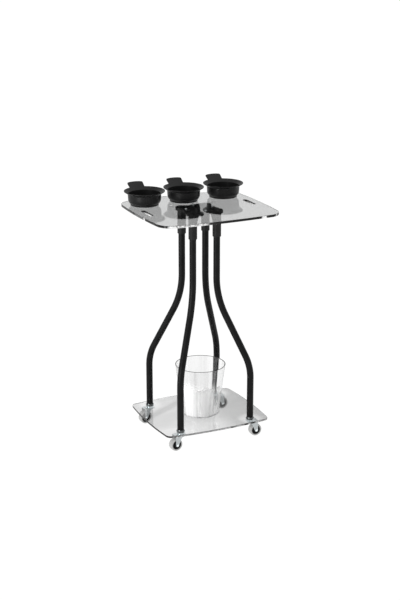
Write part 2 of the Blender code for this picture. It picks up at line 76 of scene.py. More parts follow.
TRAY_BOTTOM, TRAY_TOP = tray_low.z, tray_high.z
TRAY_BOW = (0.0094, 0.0124)
TRAY_CORNER = 0.050
TRAY_EDGE = 0.0007
SLOT_X = 0.182
SLOT_LENGTH = 0.076
SLOT_WIDTH = 0.014
DRAIN_HOLE_XY = (0.071, 0.063)
DRAIN_HOLE_RADIUS = 0.0030
SHELF_BOTTOM, SHELF_TOP = shelf_low.z, shelf_high.z
SHELF_BOW = (0.0095, 0.0115)
SHELF_CORNER = 0.018
SHELF_EDGE = 0.0006
STEM_HOLE_RADIUS = 0.0044
SCREW_OFFSET = 0.0470
SCREW_PLACES = ((-SCREW_OFFSET, 0), (SCREW_OFFSET, 0), (0, -SCREW_OFFSET), (0, SCREW_OFFSET))
SCREW_HOLE_RADIUS = 0.0023
LEG_TOP_HALF = 0.0427
LEG_FOOT_HALF = 0.1270


# ---------------------------------------------------------------- shapes


def arc(centre, radius, start, end, steps):
    angles = [start + (end - start) * i / steps for i in range(steps + 1)]
    return [(centre[0] + radius * math.cos(a), centre[1] + radius * math.sin(a)) for a in angles]


def fillet(points, radii, closed=True, steps=4):
    """Rounds the corners of a polyline; radii is one number, or one for each point."""
    count = len(points)
    if not isinstance(radii, (list, tuple)):
        radii = [radii] * count
    rounded = []
    for i, (point, radius) in enumerate(zip(points, radii)):
        corner = Vector(point)
        if radius <= 0 or (not closed and i in (0, count - 1)):
            rounded.append(tuple(corner))
            continue
        before = Vector(points[i - 1]) - corner
        after = Vector(points[(i + 1) % count]) - corner
        half = before.angle(after) / 2
        if half > math.radians(89):
            rounded.append(tuple(corner))
            continue
        reach = min(radius / math.tan(half), 0.48 * before.length, 0.48 * after.length)
        used = reach * math.tan(half)
        middle = (before.normalized() + after.normalized()).normalized()
        centre = corner + middle * (used / math.sin(half))
        first = corner + before.normalized() * reach - centre
        last = corner + after.normalized() * reach - centre
        start = math.atan2(first.y, first.x)
        sweep = (math.atan2(last.y, last.x) - start + math.pi) % TAU - math.pi
        rounded += arc(centre, used, start, start + sweep, steps)
    return rounded


def bowed_rectangle(half, bow, corner, corner_steps=28, side_steps=36):
    """A rectangle whose sides bulge outwards along parabolas, with its corners rounded."""
    half_x, half_y = half
    bow_x, bow_y = bow

    def back_side(x):
        point = Vector((x, half_y + bow_y * (1 - (x / half_x) ** 2)))
        return point, Vector((2 * bow_y * x / half_x**2, 1)).normalized()

    def right_side(y):
        point = Vector((half_x + bow_x * (1 - (y / half_y) ** 2), y))
        return point, Vector((1, 2 * bow_x * y / half_y**2)).normalized()

    x, y = half_x - corner, half_y - corner
    for _ in range(40):
        back_point, back_normal = back_side(x)
        right_point, right_normal = right_side(y)
        centre = back_point - corner * back_normal
        miss = right_point - corner * right_normal - centre
        x += miss.x
        y -= miss.y
    start = math.atan2(right_normal.y, right_normal.x)
    end = math.atan2(back_normal.y, back_normal.x)
    quarter = [tuple(right_side(y * i / side_steps)[0]) for i in range(1, side_steps)]
    quarter += arc(centre, corner, start, end, corner_steps)
    quarter += [tuple(back_side(x * (1 - i / side_steps))[0]) for i in range(1, side_steps)]
    outline = [(half_x + bow_x, 0.0)] + quarter + [(0.0, half_y + bow_y)]
    outline += [(-px, py) for px, py in reversed(quarter)] + [(-half_x - bow_x, 0.0)]
    outline += [(-px, -py) for px, py in quarter] + [(0.0, -half_y - bow_y)]
    return outline + [(px, -py) for px, py in reversed(quarter)]


def circle(centre, radius, steps=32):
    return arc(centre, radius, 0, TAU, steps)[:-1]


def slot_outline(centre_x, length, width):
    radius = width / 2
    reach = length / 2 - radius
    back_end = arc((centre_x, reach), radius, 0, math.pi, 20)
    return back_end + arc((centre_x, -reach), radius, math.pi, TAU, 20)


# ---------------------------------------------------------------- meshes


def shade(mesh, angle=32):
    """Smooth shading in which the large faces keep their own normals."""
    mesh.shade_smooth()
    mesh.set_sharp_from_angle(angle=math.radians(angle))
    obj = bpy.data.objects.new("shading", mesh)
    bpy.context.scene.collection.objects.link(obj)
    modifier = obj.modifiers.new("Weighted Normal", "WEIGHTED_NORMAL")
    modifier.keep_sharp = True
    modifier.weight = 80
    graph = bpy.context.evaluated_depsgraph_get()
    shaded = bpy.data.meshes.new_from_object(obj.evaluated_get(graph))
    bpy.data.objects.remove(obj)
    name = mesh.name
    bpy.data.meshes.remove(mesh)
    shaded.name = name
    return shaded


def mesh_from(name, verts, faces, angle=32):
    mesh = bpy.data.meshes.new(name)
    mesh.from_pydata(verts, [], faces)
    body = bmesh.new()
    body.from_mesh(mesh)
    bmesh.ops.remove_doubles(body, verts=body.verts, dist=1e-7)
    bmesh.ops.recalc_face_normals(body, faces=body.faces)
    body.to_mesh(mesh)
    body.free()
    return shade(mesh, angle)


def rings_mesh(name, rings, angle=32):
    """Skins a closed loop of rings of equally many points; a ring of one point is a pole."""
    verts, faces, numbers = [], [], []
    for ring in rings:
        numbers.append(list(range(len(verts), len(verts) + len(ring))))
        verts += ring
    steps = max(len(ring) for ring in rings)
    for i in range(len(rings)):
        near, far = numbers[i], numbers[(i + 1) % len(rings)]
        if len(near) == 1 and len(far) == 1:
            continue
        for k in range(steps):
            after = (k + 1) % steps
            quad = [near[k % len(near)], near[after % len(near)]]
            quad += [far[after % len(far)], far[k % len(far)]]
            faces.append(list(dict.fromkeys(quad)))
    return mesh_from(name, verts, faces, angle)


def lathe(name, profile, steps=96, angle=32):
    """A turned solid about Z from (radius, height) points that run round its section."""
    rings = []
    for radius, height in profile:
        if radius < 1e-7:
            rings.append([(0.0, 0.0, height)])
        else:
            rings.append([(x, y, height) for x, y in circle((0, 0), radius, steps)])
    return rings_mesh(name, rings, angle)


def tube(name, path, radius, wall, sides=40):
    """A round tube of even wall along a path, open at both ends."""
    points = [Vector(p) for p in path]
    outer, inner = [], []
    across = None
    for i, point in enumerate(points):
        along = (points[min(i + 1, len(points) - 1)] - points[max(i - 1, 0)]).normalized()
        if across is None:
            across = along.orthogonal().normalized()
        across = (across - along * across.dot(along)).normalized()
        other = along.cross(across)
        around = [across * x + other * y for x, y in circle((0, 0), 1.0, sides)]
        outer.append([tuple(point + radius * a) for a in around])
        inner.append([tuple(point + (radius - wall) * a) for a in around])
    return rings_mesh(name, outer + inner[::-1])


def prism(name, outline, bottom, top):
    count = len(outline)
    verts = [(x, y, bottom) for x, y in outline] + [(x, y, top) for x, y in outline]
    faces = [list(range(count))[::-1], list(range(count, 2 * count))]
    faces += [[i, (i + 1) % count, (i + 1) % count + count, i + count] for i in range(count)]
    return mesh_from(name, verts, faces)


def side_prism(name, outline, half_width):
    mesh = prism(name, outline, -half_width, half_width)
    mesh.transform(Matrix.Rotation(math.pi / 2, 4, "X"))
    return mesh


def plate(name, outlines, bottom, top, edge):
    """A flat plate with rounded edges; the first outline is its rim and the others are holes."""
    curve = bpy.data.curves.new(name, "CURVE")
    curve.dimensions = "2D"
    curve.fill_mode = "BOTH"
    curve.extrude = (top - bottom) / 2 - edge
    curve.bevel_depth = edge
    curve.bevel_resolution = 3
    curve.offset = -edge
    for outline in outlines:
        spline = curve.splines.new("POLY")
        spline.points.add(len(outline) - 1)
        spline.use_cyclic_u = True
        for point, (x, y) in zip(spline.points, outline):
            point.co = (x, y, 0, 1)
    line = bpy.data.objects.new(name + "_line", curve)
    bpy.context.scene.collection.objects.link(line)
    graph = bpy.context.evaluated_depsgraph_get()
    mesh = bpy.data.meshes.new_from_object(line.evaluated_get(graph))
    bpy.data.objects.remove(line)
    bpy.data.curves.remove(curve)
    mesh.name = name
    mesh.transform(Matrix.Translation((0, 0, (bottom + top) / 2)))
    body = bmesh.new()
    body.from_mesh(mesh)
    bmesh.ops.remove_doubles(body, verts=body.verts, dist=1e-6)
    bmesh.ops.recalc_face_normals(body, faces=body.faces)
    body.to_mesh(mesh)
    body.free()
    mesh.materials.clear()
    return shade(mesh)


def combined(name, base, steps, edge=0.0):
    """Applies Booleans, then rounds the edges; steps are (operation, mesh) pairs."""
    collection = bpy.context.scene.collection
    main = bpy.data.objects.new(name, base)
    collection.objects.link(main)
    others = []
    for operation, mesh in steps:
        other = bpy.data.objects.new(f"{name}_{len(others)}", mesh)
        collection.objects.link(other)
        others.append(other)
        modifier = main.modifiers.new("Boolean", "BOOLEAN")
        modifier.operation = operation
        modifier.solver = "EXACT"
        modifier.object = other
    if edge:
        modifier = main.modifiers.new("Bevel", "BEVEL")
        modifier.width = edge
        modifier.segments = 2
        modifier.limit_method = "ANGLE"
        modifier.angle_limit = math.radians(35)
        modifier.harden_normals = False
    graph = bpy.context.evaluated_depsgraph_get()
    mesh = bpy.data.meshes.new_from_object(main.evaluated_get(graph))
    for obj in [main, *others]:
        bpy.data.objects.remove(obj)
    mesh.name = name
    mesh.materials.clear()
    return shade(mesh)


def add(name, mesh, body, finish, replaces, location=(0, 0, 0), turn=None):
    """Places a piece, gives it its finish and hangs it on its CAD body."""
    slot, material = finish
    obj = bpy.data.objects.new(name, mesh)
    bpy.context.scene.collection.objects.link(obj)
    if not mesh.materials:
        mesh.materials.append(material)
    obj.matrix_world = Matrix.Translation(location) @ (turn or Matrix.Identity(4))
    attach(obj, body)
    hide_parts(*replaces)
    return obj


# ---------------------------------------------------------------- materials


class Nodes:
    """A small helper that adds and links shader nodes."""

    def __init__(self, tree):
        self.tree = tree
        tree.nodes.clear()

    def add(self, kind, values=None, **settings):
        """Adds a node; each value is a socket to link, or a plain number, vector or colour."""
        node = self.tree.nodes.new(kind)
        for key, setting in settings.items():
            setattr(node, key, setting)
        for key, value in (values or {}).items():
            if isinstance(value, bpy.types.NodeSocket):
                self.tree.links.new(value, node.inputs[key])
            else:
                node.inputs[key].default_value = value
        return node

    def surface(self, values):
        """Gives the material one Principled shader with these inputs."""
        shader = self.add("ShaderNodeBsdfPrincipled", values)
        self.add("ShaderNodeOutputMaterial", {"Surface": shader.outputs[0]})

    def math(self, operation, *values):
        return self.add("ShaderNodeMath", dict(enumerate(values)), operation=operation).outputs[0]

    def vector(self, operation, *values):
        values = dict(enumerate(values))
        return self.add("ShaderNodeVectorMath", values, operation=operation).outputs

    def times(self, product, *others):
        for other in others:
            product = self.math("MULTIPLY", product, other)
        return product

    def plus(self, first, second):
        return self.math("ADD", first, second)

    def minus(self, first, second):
        return self.math("SUBTRACT", first, second)

    def most(self, first, second):
        return self.math("MAXIMUM", first, second)

    def over(self, value, limit):
        return self.math("GREATER_THAN", value, limit)

    def size(self, value):
        return self.math("ABSOLUTE", value)

    def off_squared(self, x, y, from_x, from_y):
        """The square of the distance from a point in plan."""
        off_x, off_y = self.minus(x, from_x), self.minus(y, from_y)
        return self.plus(self.times(off_x, off_x), self.times(off_y, off_y))

    def ramp(self, factor, stops):
        node = self.add("ShaderNodeValToRGB", {"Fac": factor})
        elements = node.color_ramp.elements
        while len(elements) < len(stops):
            elements.new(0.5)
        for element, (position, colour) in zip(elements, stops):
            element.position = position
            element.color = colour
        return node.outputs["Color"]

    def mix(self, share, low, high):
        """Goes from the colour low to the colour high as the share goes from 0 to 1."""
        return self.add("ShaderNodeMix", {0: share, 6: low, 7: high}, data_type="RGBA").outputs[2]

    def span(self, value, low, high):
        """Spreads the middle of a noise, 0.3 to 0.7, evenly over low to high."""
        ends = {"Value": value, "From Min": 0.3, "From Max": 0.7, "To Min": low, "To Max": high}
        return self.add("ShaderNodeMapRange", ends).outputs["Result"]

    def ease(self, value, start, end, low=0.0, high=1.0):
        """Goes smoothly from low to high as the value goes from start to end."""
        ends = {"Value": value, "From Min": start, "From Max": end, "To Min": low, "To Max": high}
        made = self.add("ShaderNodeMapRange", ends, interpolation_type="SMOOTHSTEP")
        return made.outputs["Result"]

    def place(self):
        """The point on the surface, in the piece's own axes."""
        return self.add("ShaderNodeTexCoord").outputs["Object"]

    def parts(self, vector):
        outputs = self.add("ShaderNodeSeparateXYZ", {"Vector": vector}).outputs
        return outputs["X"], outputs["Y"], outputs["Z"]

    def noise(self, scale, detail, roughness=0.5, stretch=None):
        where = self.place()
        if stretch:
            mapping = self.add("ShaderNodeMapping", {"Vector": where, "Scale": stretch})
            where = mapping.outputs["Vector"]
        values = {"Vector": where, "Scale": scale, "Detail": detail, "Roughness": roughness}
        return self.add("ShaderNodeTexNoise", values).outputs["Fac"]

    def bump(self, height, distance, strength):
        values = {"Height": height, "Strength": strength, "Distance": distance}
        return self.add("ShaderNodeBump", values).outputs["Normal"]


def new_material(name):
    made = bpy.data.materials.new(name)
    made.use_nodes = True
    return made, Nodes(made.node_tree)


def grey(value, blue=1.0):
    return (value, value, value * blue, 1.0)


def zinc(value):
    """Zinc's slightly cool grey."""
    return (value * 0.93, value * 0.985, value, 1.0)


def clear_acrylic(name, density, waviness, finish):
    """Polished acrylic: clear, with light lost along its depth so that its edges go dark."""
    made, nodes = new_material(name)
    values = finish(nodes)
    values["IOR"] = 1.49
    values["Roughness"] = nodes.span(nodes.noise(60, 6, 0.7, (1, 18, 1)), 0.0, 0.012)
    values["Normal"] = nodes.bump(nodes.noise(14, 1), waviness, 0.4)
    shader = nodes.add("ShaderNodeBsdfPrincipled", values)
    open_shade = nodes.add("ShaderNodeBsdfTransparent", {"Color": grey(0.93)})
    in_shadow = nodes.add("ShaderNodeLightPath").outputs["Is Shadow Ray"]
    shaders = {0: in_shadow, 1: shader.outputs[0], 2: open_shade.outputs[0]}
    mixed = nodes.add("ShaderNodeMixShader", shaders)
    lost = {"Color": (0.32, 0.33, 0.33, 1), "Density": density}
    depth = nodes.add("ShaderNodeVolumeAbsorption", lost)
    ends = {"Surface": mixed.outputs[0], "Volume": depth.outputs[0]}
    nodes.add("ShaderNodeOutputMaterial", ends)
    return made


HIGHLIGHT_DEPTHS = (0.0006, 0.0014)  # depths below the upper face between which the rim's white frosting, a painted highlight, sets in
SLOT_SHADE_DEPTHS = (0.0052, 0.0040)  # depths between which a slot's long wall turns from white painted highlight to dark painted shade


def cut_edges(outside, face, stretches, holes, slots_beyond, film):
    """Finish of a cut sheet: its rim is clear, or painted in stretches, white frosting as a painted
    highlight and dark as painted shade.

    outside is how far out the rim lies, face is the height of the upper face, and stretches are
    (share of a turn, frosting as painted highlight, darkening as painted shade). The small holes have
    a white countersink ring, a painted highlight. The slots, further out than slots_beyond, have one
    long wall that is painted shade above and painted highlight below. film is a function that gives
    the share of light the tinted film on the faces lets through; on the shelf it also holds painted
    shade.
    """

    def finish(nodes):
        facing_x, _, facing_z = nodes.parts(nodes.add("ShaderNodeNewGeometry").outputs["Normal"])
        x, y, z = nodes.parts(nodes.place())
        side_x = nodes.size(x)
        edge = nodes.ease(nodes.size(facing_z), 0.90, 0.60)
        beyond_y = nodes.over(nodes.size(y), outside[1])
        rim = nodes.times(nodes.most(nodes.over(side_x, outside[0]), beyond_y), edge)
        turn = nodes.math("DIVIDE", nodes.math("ARCTAN2", y, x), TAU)
        wander = nodes.ease(nodes.noise(40, 2), 0.3, 0.7, -0.0015, 0.0015)
        turn = nodes.math("FRACT", nodes.plus(nodes.plus(turn, 1.0), wander))
        stops = [(share, (frost, dark, 0.0, 1.0)) for share, frost, dark in stretches]
        around = nodes.add("ShaderNodeSeparateColor", {"Color": nodes.ramp(turn, stops)}).outputs
        uneven = nodes.ease(nodes.noise(150, 3), 0.40, 0.60, 0.45, 1.0)
        below_arris = nodes.ease(z, face - HIGHLIGHT_DEPTHS[0], face - HIGHLIGHT_DEPTHS[1])
        # white frosting in stretches along the rim: painted highlight
        edge_highlight = nodes.times(rim, around["Red"], below_arris, uneven)
        # a slot's long wall: painted shade above, painted highlight below, whiter towards the front
        in_slot = nodes.times(nodes.minus(edge, rim), nodes.over(side_x, slots_beyond))
        long_wall = nodes.times(in_slot, nodes.math("LESS_THAN", facing_x, -0.5))
        upper = nodes.ease(z, face - SLOT_SHADE_DEPTHS[0], face - SLOT_SHADE_DEPTHS[1])
        patchy = nodes.ease(nodes.noise(150, 3), 0.40, 0.60, 0.6, 1.0)
        slot_shade = nodes.times(long_wall, upper, patchy)
        to_front = nodes.ease(y, 0.025, -0.015, 0.2, 1.0)
        edge_highlight = nodes.most(edge_highlight, nodes.times(long_wall, nodes.minus(1.0, upper), to_front))
        # white rings round the small holes: painted highlight
        for hole_x, hole_y, reach in holes:
            off = nodes.off_squared(side_x, y, hole_x, hole_y)
            edge_highlight = nodes.most(edge_highlight, nodes.math("LESS_THAN", off, reach * reach))
        # dark stretches along the rim and the upper part of the slot wall: painted shade
        edge_shade = nodes.most(nodes.times(rim, around["Green"]), slot_shade)
        tones = [(0.0, grey(1.0)), (0.5, grey(0.02)), (1.0, grey(0.012))]
        tinted = {0: nodes.ramp(edge_shade, tones), "Scale": film(nodes, x, y)}
        return {
            "Base Color": nodes.add("ShaderNodeVectorMath", tinted, operation="SCALE").outputs[0],
            "Transmission Weight": nodes.minus(1.0, nodes.most(edge_highlight, edge_shade)),
            # less reflection where the rim is painted shade
            "Specular IOR Level": nodes.ease(edge_shade, 0.0, 1.0, 0.5, 0.1),
        }

    return finish


WIPED = (1.0, 2.2, 1.0)  # a cloth draws the film out along X


def tray_film(nodes, x, y):
    """A faint wiped film, drawn out across the tray."""
    return nodes.ease(nodes.noise(5, 2, 0.5, WIPED), 0.35, 0.65, 0.95, 0.98)


# where the painted shadow band across the shelf lies, and the direction across it
SHADOW_BAND_PLACE = (-0.097, 0.067)
SHADOW_BAND_ACROSS = (-0.49, 0.87)


def shelf_film_and_shade(nodes, x, y):
    """A tinted film with painted shade: darker on the right, lighter round the feet and at the front
    left.

    A soft painted shadow band runs across its left half.
    """
    # painted shade: the film darkens towards the right
    tint_and_shade = nodes.ease(x, -0.02, 0.10, 0.84, 0.73)
    side_x, side_y = nodes.size(x), nodes.size(y)
    off = nodes.off_squared(side_x, side_y, LEG_FOOT_HALF, LEG_FOOT_HALF)
    lighter_round_feet = nodes.ease(nodes.math("SQRT", off), 0.052, 0.022)
    front = nodes.ease(y, -0.050, -0.120, 0.0, 0.9)
    left = nodes.ease(x, 0.09, -0.01)
    clear = nodes.most(nodes.times(front, left), lighter_round_feet)
    film = nodes.plus(tint_and_shade, nodes.times(clear, nodes.minus(1.0, tint_and_shade)))
    wiped = nodes.ease(nodes.noise(7, 2, 0.5, WIPED), 0.35, 0.65, 0.93, 1.0)
    # painted shadow: a soft darker band across the left half
    along_x = nodes.times(nodes.minus(x, SHADOW_BAND_PLACE[0]), SHADOW_BAND_ACROSS[0])
    along_y = nodes.times(nodes.minus(y, SHADOW_BAND_PLACE[1]), SHADOW_BAND_ACROSS[1])
    off_shadow_band = nodes.size(nodes.plus(along_x, along_y))
    shadow_band = nodes.times(nodes.ease(off_shadow_band, 0.026, 0.004, 0.0, 0.20), nodes.ease(x, 0.03, -0.03))
    return nodes.times(film, wiped, nodes.minus(1.0, shadow_band))


# depth of the rim band painted dark as shade, and the side that carries a white painted highlight
BIN_SHADED_RIM_DEPTH = 0.0009
HIGHLIGHT_SIDE = (-0.791, -0.611, 0)


def bin_painted_reflections(nodes):
    """Painted reflections: light and dark streaks up the wall, a white painted highlight low on one
    side and near the base, and a dark rim of painted shade.
    """
    where = nodes.place()
    flat = nodes.vector("MULTIPLY", where, (1, 1, 0))[0]
    around = nodes.vector("NORMALIZE", flat)[0]

    def streaks(scale, shift):
        values = {"Vector": around, "Scale": scale, "Detail": 1.0, "W": shift}
        return nodes.add("ShaderNodeTexNoise", values, noise_dimensions="4D").outputs["Fac"]

    height = nodes.parts(where)[2]
    # the top band of the rim is painted dark: painted shade
    rim = nodes.over(height, bin_high.z - bin_low.z - BIN_SHADED_RIM_DEPTH)
    # light and dark streaks up the wall: painted reflections
    tones = [(0.38, grey(0.88)), (0.46, grey(0.94)), (0.56, grey(0.97)), (0.60, grey(1.0))]
    wall = nodes.ramp(streaks(3.0, 1.7), tones)
    toward_side = nodes.vector("DOT_PRODUCT", around, HIGHLIGHT_SIDE)["Value"]
    low_down = nodes.ease(height, 0.132, 0.088)
    streak = nodes.ease(streaks(3.8, 6.4), 0.38, 0.62, 0.26, 0.64)
    # white patches low on one side and near the base: painted highlight
    bin_highlight_patch = nodes.times(nodes.ease(toward_side, 0.26, 0.57), low_down, streak)
    base_highlight = nodes.times(nodes.ease(height, 0.040, 0.004, 0.0, 0.5), streak)
    on_wall = nodes.ease(nodes.vector("LENGTH", flat)["Value"], 0.050, 0.060, 0.25, 1.0)
    bin_highlight = nodes.times(nodes.most(bin_highlight_patch, base_highlight), on_wall)
    return {
        "Base Color": nodes.mix(rim, wall, grey(0.05)),
        "Transmission Weight": nodes.minus(1.0, nodes.most(bin_highlight, nodes.times(rim, 0.95))),
    }


def powder_coat(name):
    """Satin black powder coat: a fine orange peel and slightly uneven gloss."""
    made, nodes = new_material(name)
    tones = [(0.3, grey(0.003)), (0.7, grey(0.006, 1.04))]
    nodes.surface(
        {
            "Base Color": nodes.ramp(nodes.noise(35, 4), tones),
            "Specular IOR Level": 0.11,
            "Roughness": nodes.span(nodes.noise(90, 4), 0.34, 0.44),
            "Normal": nodes.bump(nodes.noise(1100, 2), 0.00012, 0.35),
        }
    )
    return made


def moulded_plastic(name, dark, light, shine, gloss, grain_size, grain_depth):
    """Injection-moulded plastic: fine spark-eroded grain, uneven gloss and faint flow marks."""
    made, nodes = new_material(name)
    flow = nodes.noise(22, 5, 0.6, (1, 1, 3))
    nodes.surface(
        {
            "Base Color": nodes.ramp(flow, [(0.3, grey(dark)), (0.7, grey(light, 1.03))]),
            "Specular IOR Level": shine,
            "Roughness": nodes.span(nodes.noise(60, 5), *gloss),
            "Normal": nodes.bump(nodes.noise(grain_size, 3), grain_depth, 0.5),
        }
    )
    return made


def plated_steel(name, low, high, gloss, highlight_above=None):
    """Bright zinc plate: cloudy colour, and fine marks left by polishing.

    Where a height is given, the plate above it is painted near white: a painted highlight.
    """
    made, nodes = new_material(name)
    tone = nodes.ramp(nodes.noise(160, 4), [(0.3, zinc(low)), (0.7, zinc(high))])
    if highlight_above is not None:
        height = nodes.parts(nodes.place())[2]
        share = nodes.ease(height, highlight_above - 0.0015, highlight_above + 0.0015)
        # near white above the height: painted highlight
        tone = nodes.mix(share, tone, zinc(0.98))
    nodes.surface(
        {
            "Base Color": tone,
            "Metallic": 1.0,
            "Roughness": nodes.span(nodes.noise(320, 5), *gloss),
            "Normal": nodes.bump(nodes.noise(900, 3, 0.6, (1, 1, 6)), 0.00006, 0.3),
        }
    )
    return made


def grey_rubber(name):
    """Grey thermoplastic rubber: matt, mottled, with a slightly scuffed tread."""
    made, nodes = new_material(name)
    tones = [(0.25, grey(0.32)), (0.75, grey(0.45, 0.98))]
    nodes.surface(
        {
            "Base Color": nodes.ramp(nodes.noise(220, 6, 0.65), tones),
            "Roughness": nodes.span(nodes.noise(400, 4), 0.52, 0.68),
            "Normal": nodes.bump(nodes.noise(700, 5, 0.6), 0.00015, 0.4),
        }
    )
    return made


# each stretch: share of a turn from +X, frosting (painted highlight), darkening (painted shade)
TRAY_PAINTED_EDGES = [
    (0.000, 0.5, 0.0), (0.080, 0.0, 0.6), (0.140, 0.5, 0.0), (0.300, 0.5, 0.0),
    (0.400, 0.0, 0.8), (0.484, 0.0, 0.9), (0.488, 0.0, 0.45), (0.536, 0.0, 0.45),
    (0.539, 1.0, 0.0), (0.544, 1.0, 0.0), (0.546, 0.0, 0.9), (0.617, 0.0, 1.0),
    (0.621, 0.75, 0.0), (0.700, 0.75, 0.0), (0.707, 0.0, 0.55), (0.745, 0.0, 0.9),
    (0.842, 0.0, 1.0), (0.844, 0.95, 0.0), (0.856, 0.95, 0.0), (0.858, 0.0, 1.0),
    (0.872, 0.0, 1.0), (0.874, 0.95, 0.0), (0.878, 0.95, 0.0), (0.880, 0.0, 1.0),
    (0.955, 0.0, 1.0), (0.965, 0.5, 0.0),
]
SHELF_PAINTED_EDGES = [
    (0.000, 0.4, 0.0), (0.115, 0.0, 0.0), (0.125, 0.0, 0.8), (0.135, 0.2, 0.0),
    (0.320, 0.4, 0.0), (0.400, 0.0, 0.9), (0.440, 0.0, 1.0), (0.614, 0.0, 1.0),
    (0.622, 0.3, 0.0), (0.786, 0.5, 0.0), (0.788, 0.0, 0.8), (0.792, 0.0, 0.8),
    (0.794, 0.5, 0.0), (0.828, 0.5, 0.0), (0.831, 0.0, 1.0), (0.837, 0.0, 1.0),
    (0.839, 0.95, 0.0), (0.845, 0.95, 0.0), (0.847, 0.0, 0.7), (0.857, 0.0, 0.5),
    (0.860, 0.7, 0.0), (0.885, 0.6, 0.0), (0.890, 0.3, 0.0),
]
# white rings round the drain holes: painted highlight
HOLE_HIGHLIGHTS = ((*DRAIN_HOLE_XY, 0.0075),)
TRAY_CUT = cut_edges((0.2, 0.155), TRAY_TOP, TRAY_PAINTED_EDGES, HOLE_HIGHLIGHTS, 0.15, tray_film)
SHELF_CUT = cut_edges((0.15, 0.14), SHELF_TOP, SHELF_PAINTED_EDGES, (), 0.20, shelf_film_and_shade)

# each finish: the CAD slot it belongs to and its material
TRAY_ACRYLIC = ("clear_acrylic", clear_acrylic("tray_acrylic", 64.0, 0.00004, TRAY_CUT))
SHELF_ACRYLIC = ("clear_acrylic", clear_acrylic("shelf_acrylic", 36.0, 0.00004, SHELF_CUT))
BIN_ACRYLIC = ("clear_acrylic", clear_acrylic("bin_acrylic", 22.0, 0.00025, bin_painted_reflections))
POWDER_COAT = ("black_powder_coat", powder_coat("black_powder_coat_finish"))
BRACKET_PLASTIC = (
    "black_bracket",
    moulded_plastic("bracket_plastic", 0.007, 0.012, 0.18, (0.46, 0.58), 1500, 0.00010),
)
BOWL_PLASTIC = (
    "black_bowl_plastic",
    moulded_plastic("bowl_plastic", 0.008, 0.012, 0.14, (0.30, 0.40), 2600, 0.00004),
)
HUB_PLASTIC = (
    "black_hub_plastic",
    moulded_plastic("hub_plastic", 0.004, 0.008, 0.20, (0.38, 0.50), 2200, 0.00005),
)
# a darker copy of the bright zinc that dims the screws' glints: painted shade
SHADED_SCREW_ZINC = ("bright_zinc", plated_steel("screw_zinc_painted_shade", 0.22, 0.34, (0.30, 0.42)))
# the fork's crown top is painted near white: painted highlight
FORK_ZINC = ("bright_zinc", plated_steel("fork_zinc_painted_highlight", 0.44, 0.56, (0.20, 0.34), 0.0490))
# a near-white copy of the bright zinc for the races and axle bolts: painted highlight
LIT_RACE_ZINC = ("bright_zinc", plated_steel("race_zinc_painted_highlight", 0.93, 0.98, (0.16, 0.28)))
# a near-black copy of the bright zinc for the collars: painted shade
SHADED_COLLAR_ZINC = ("bright_zinc", plated_steel("collar_zinc_painted_shade", 0.08, 0.22, (0.12, 0.24)))
RUBBER = ("grey_rubber", grey_rubber("grey_tyre_rubber"))


# ---------------------------------------------------------------- plates


def plate_half(high, bow):
    return (high.x - bow[0], high.y - bow[1])


tray_outlines = [bowed_rectangle(plate_half(tray_high, TRAY_BOW), TRAY_BOW, TRAY_CORNER)]
for side in (-1, 1):
    hole_place = (side * DRAIN_HOLE_XY[0], DRAIN_HOLE_XY[1])
    tray_outlines.append(slot_outline(side * SLOT_X, SLOT_LENGTH, SLOT_WIDTH))
    tray_outlines.append(circle(hole_place, DRAIN_HOLE_RADIUS, 24))
for place in SCREW_PLACES:
    tray_outlines.append(circle(place, SCREW_HOLE_RADIUS, 20))
tray_plate = plate("tray_plate", tray_outlines, TRAY_BOTTOM, TRAY_TOP, TRAY_EDGE)
add("tray_plate", tray_plate, "frame", TRAY_ACRYLIC, ["top_tray"])

shelf_outlines = [bowed_rectangle(plate_half(shelf_high, SHELF_BOW), SHELF_BOW, SHELF_CORNER)]
for side_x, side_y in CORNERS.values():
    place = (side_x * LEG_FOOT_HALF, side_y * LEG_FOOT_HALF)
    shelf_outlines.append(circle(place, STEM_HOLE_RADIUS, 24))
shelf_plate = plate("shelf_plate", shelf_outlines, SHELF_BOTTOM, SHELF_TOP, SHELF_EDGE)
add("shelf_plate", shelf_plate, "frame", SHELF_ACRYLIC, ["lower_shelf"])


# ---------------------------------------------------------------- legs

TUBE_RADIUS = 0.0110
TUBE_WALL = 0.0015
LEG_LEAN = math.radians(27.65)
UPPER_BEND_RADIUS = 0.2755
LOWER_BEND_RADIUS = 0.1600
UPPER_BEND_START = 0.5426


def leg_path(low, high):
    """The leg's centre line as (distance from the trolley's axis, height), from top to foot."""
    top_reach = LEG_TOP_HALF * math.sqrt(2)
    foot_reach = LEG_FOOT_HALF * math.sqrt(2)
    centre = (top_reach + UPPER_BEND_RADIUS, UPPER_BEND_START)
    upper = arc(centre, UPPER_BEND_RADIUS, math.pi, math.pi + LEG_LEAN, 28)
    spread_in_bends = (1 - math.cos(LEG_LEAN)) * (UPPER_BEND_RADIUS + LOWER_BEND_RADIUS)
    straight = (foot_reach - top_reach - spread_in_bends) / math.sin(LEG_LEAN)
    sine, cosine = math.sin(LEG_LEAN), math.cos(LEG_LEAN)
    centre = (
        upper[-1][0] + straight * sine - LOWER_BEND_RADIUS * cosine,
        upper[-1][1] - straight * cosine - LOWER_BEND_RADIUS * sine,
    )
    lower = arc(centre, LOWER_BEND_RADIUS, LEG_LEAN, 0, 20)
    return [(top_reach, high)] + upper + lower + [(foot_reach, low)]


for corner, (side_x, side_y) in CORNERS.items():
    low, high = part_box(f"leg_{corner}")
    path = [
        (side_x * reach / math.sqrt(2), side_y * reach / math.sqrt(2), height)
        for reach, height in leg_path(low.z, high.z)
    ]
    bent = tube(f"tube_{corner}", path, TUBE_RADIUS, TUBE_WALL)
    add(f"tube_{corner}", bent, "frame", POWDER_COAT, [f"leg_{corner}"])


# ---------------------------------------------------------------- bracket

